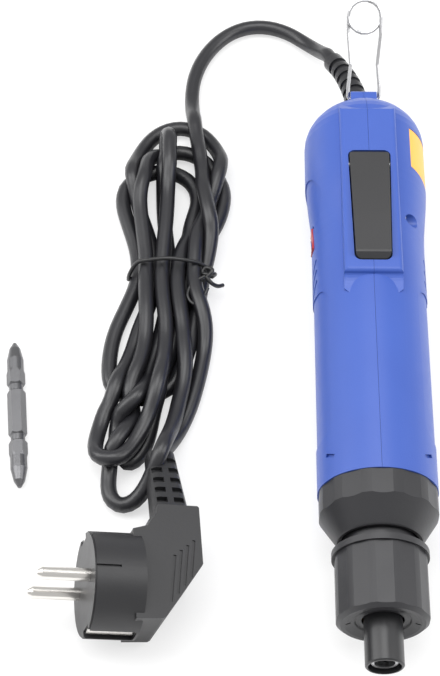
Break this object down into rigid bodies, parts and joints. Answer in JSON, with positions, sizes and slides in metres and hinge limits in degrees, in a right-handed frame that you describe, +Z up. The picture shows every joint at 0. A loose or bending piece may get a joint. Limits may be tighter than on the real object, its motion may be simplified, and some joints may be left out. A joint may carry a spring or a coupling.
{
  "type": "electric torque screwdriver",
  "caption": "Mains electric torque screwdriver with start lever, adjustable clutch, hanging bail, corded plug and a loose double-ended bit.",
  "frame": {"origin": "centre of the mouth of the bit socket in the spindle, on the tool's axis", "axes": "+Y along the tool's axis from the nose to the head with the cord, +Z up on the side of the start lever, +X to the right seen from above with the nose towards the viewer; the bench is the plane Z = -22.2 mm"},
  "size_m": [0.1677, 0.3165, 0.0585],
  "materials": {
    "blue_shell": "satin",
    "orange_plate": "satin",
    "lever_black": "satin",
    "nose_black": "satin",
    "rocker_red": "satin",
    "insulator": "satin",
    "switch_body": "satin",
    "board_green": "satin",
    "cord_black": "matte",
    "plug_black": "satin",
    "tie_black": "satin",
    "steel": "satin",
    "spring_steel": "satin",
    "nickel": "polished",
    "bit_steel": "satin",
    "gear_steel": "satin",
    "case_alloy": "satin",
    "bronze": "satin",
    "ferrite": "matte"
  },
  "bodies": {
    "tool": {"housing_left": "blue_shell", "housing_right": "blue_shell", "housing_screws": "steel", "side_plate": "orange_plate", "lever_pin": "steel", "lever_spring": "spring_steel", "start_switch": "switch_body", "direction_switch": "switch_body", "cord_boot": "cord_black", "cord_clamp": "insulator", "circuit_board": "board_green", "power_capacitor": "insulator", "motor_can": "steel", "motor_end_cap": "insulator", "motor_magnets": "ferrite", "carbon_brushes": "ferrite", "gear_case": "case_alloy", "output_bearing": "steel", "front_neck": "nose_black", "collar_ring": "nose_black", "torque_spring": "spring_steel", "cord_lead": "cord_black", "cord_hank": "cord_black", "cord_tail": "cord_black", "cord_tie": "tie_black", "plug_body": "plug_black", "plug_pins": "nickel", "earth_contacts": "nickel", "plug_boot": "plug_black"},
    "lever": {"start_lever": "lever_black"},
    "plunger": {"switch_plunger": "rocker_red"},
    "rocker": {"direction_rocker": "rocker_red"},
    "bail": {"hanging_bail": "spring_steel"},
    "motor_rotor": {"rotor": "gear_steel"},
    "first_carrier": {"carrier_in": "gear_steel"},
    "first_planet_1": {"planet_in_1": "gear_steel"},
    "first_planet_2": {"planet_in_2": "gear_steel"},
    "first_planet_3": {"planet_in_3": "gear_steel"},
    "second_carrier": {"carrier_out": "gear_steel"},
    "second_planet_1": {"planet_out_1": "gear_steel"},
    "second_planet_2": {"planet_out_2": "gear_steel"},
    "second_planet_3": {"planet_out_3": "gear_steel"},
    "output": {"spindle": "gear_steel", "clutch_plate": "gear_steel", "clutch_balls": "steel", "thrust_washer": "steel", "detent_ball": "steel", "chuck_clip": "spring_steel", "chuck_spring": "spring_steel"},
    "chuck": {"chuck_sleeve": "nose_black"},
    "pusher": {"thrust_ring": "bronze"},
    "torque_adjuster": {"torque_sleeve": "nose_black"},
    "loose_bit": {"screw_bit": "bit_steel"}
  },
  "joints": [
    {"name": "lever_press", "type": "hinge", "parent": "tool", "child": "lever", "pos_m": [0, 0.203, 0.0209], "axis": [1, 0, 0], "range_deg": [0, 4], "stiffness_Nm_per_rad": 1.2, "springref_deg": -2.86, "deforming": ["lever_spring"]},
    {"name": "plunger_press", "type": "slide", "parent": "tool", "child": "plunger", "axis": [0, 0, -1], "range_m": [0, 0.0025]},
    {"name": "direction_rock", "type": "hinge", "parent": "tool", "child": "rocker", "pos_m": [-0.0202, 0.1784, 0.002], "axis": [0, 0, 1], "range_deg": [-7, 7]},
    {"name": "bail_swing", "type": "hinge", "parent": "tool", "child": "bail", "pos_m": [0, 0.2469, 0.0092], "axis": [1, 0, 0], "range_deg": [-35, 80]},
    {"name": "rotor_spin", "type": "hinge", "parent": "tool", "child": "motor_rotor", "pos_m": [0, 0.1, 0], "axis": [0, 1, 0], "continuous": true},
    {"name": "first_carrier_spin", "type": "hinge", "parent": "tool", "child": "first_carrier", "pos_m": [0, 0.1, 0], "axis": [0, 1, 0], "continuous": true},
    {"name": "second_carrier_spin", "type": "hinge", "parent": "tool", "child": "second_carrier", "pos_m": [0, 0.1, 0], "axis": [0, 1, 0], "continuous": true},
    {"name": "output_spin", "type": "hinge", "parent": "tool", "child": "output", "pos_m": [0, 0.01, 0], "axis": [0, 1, 0], "continuous": true},
    {"name": "first_planet_1_spin", "type": "hinge", "parent": "first_carrier", "child": "first_planet_1", "pos_m": [0.0102, 0.09, 0], "axis": [0, 1, 0], "continuous": true},
    {"name": "second_planet_1_spin", "type": "hinge", "parent": "second_carrier", "child": "second_planet_1", "pos_m": [0.0102, 0.09, 0], "axis": [0, 1, 0], "continuous": true},
    {"name": "first_planet_2_spin", "type": "hinge", "parent": "first_carrier", "child": "first_planet_2", "pos_m": [-0.0051, 0.09, 0.00883], "axis": [0, 1, 0], "continuous": true},
    {"name": "second_planet_2_spin", "type": "hinge", "parent": "second_carrier", "child": "second_planet_2", "pos_m": [-0.0051, 0.09, 0.00883], "axis": [0, 1, 0], "continuous": true},
    {"name": "first_planet_3_spin", "type": "hinge", "parent": "first_carrier", "child": "first_planet_3", "pos_m": [-0.0051, 0.09, -0.00883], "axis": [0, 1, 0], "continuous": true},
    {"name": "second_planet_3_spin", "type": "hinge", "parent": "second_carrier", "child": "second_planet_3", "pos_m": [-0.0051, 0.09, -0.00883], "axis": [0, 1, 0], "continuous": true},
    {"name": "chuck_pull", "type": "slide", "parent": "output", "child": "chuck", "axis": [0, 1, 0], "range_m": [0, 0.004], "stiffness_N_per_m": 400, "springref_m": -0.003, "deforming": ["chuck_spring"]},
    {"name": "pusher_travel", "type": "slide", "parent": "tool", "child": "pusher", "axis": [0, 1, 0], "range_m": [0, 0.00375], "deforming": ["torque_spring"]},
    {"name": "torque_setting", "type": "hinge", "parent": "pusher", "child": "torque_adjuster", "pos_m": [0, 0.03, 0], "axis": [0, 1, 0], "range_deg": [0, 1080]},
    {"name": "bit_lift", "type": "slide", "parent": "tool", "child": "loose_bit", "axis": [0, 0, 1], "range_m": [0, 0.06]}
  ],
  "couplings": [
    {"joint": "first_carrier_spin", "follows": "rotor_spin", "ratio": 0.25},
    {"joint": "second_carrier_spin", "follows": "rotor_spin", "ratio": 0.0625},
    {"joint": "output_spin", "follows": "rotor_spin", "ratio": 0.0625},
    {"joint": "plunger_press", "follows": "lever_press", "m_per_rad": 0.033},
    {"joint": "first_planet_1_spin", "follows": "rotor_spin", "ratio": -0.75},
    {"joint": "second_planet_1_spin", "follows": "rotor_spin", "ratio": -0.1875},
    {"joint": "first_planet_2_spin", "follows": "rotor_spin", "ratio": -0.75},
    {"joint": "second_planet_2_spin", "follows": "rotor_spin", "ratio": -0.1875},
    {"joint": "first_planet_3_spin", "follows": "rotor_spin", "ratio": -0.75},
    {"joint": "second_planet_3_spin", "follows": "rotor_spin", "ratio": -0.1875},
    {"joint": "pusher_travel", "follows": "torque_setting", "m_per_rad": 0.00019894}
  ]
}
